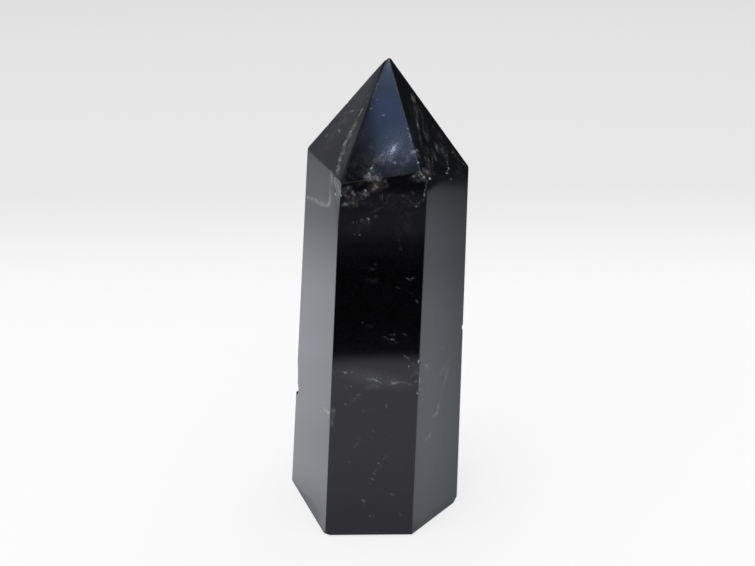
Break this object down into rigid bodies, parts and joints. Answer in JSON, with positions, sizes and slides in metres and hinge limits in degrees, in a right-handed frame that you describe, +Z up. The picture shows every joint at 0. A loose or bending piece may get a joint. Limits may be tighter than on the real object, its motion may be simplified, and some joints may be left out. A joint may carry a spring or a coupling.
{
  "type": "morion quartz crystal",
  "caption": "Polished tower of smoky-black quartz: a flat-faced prism with a faceted point, standing upright on its flat foot as an ornament or mineral specimen.",
  "frame": {"origin": "middle of the bounding box, on the flat foot that the crystal stands on", "axes": "+Z up, from the foot to the tip; -Y is the way the front prism face looks; +X to the right of that face"},
  "size_m": [0.0369, 0.0344, 0.0903],
  "materials": {
    "polished_morion": "polished"
  },
  "bodies": {
    "root": {"crystal": "polished_morion"}
  },
  "joints": []
}
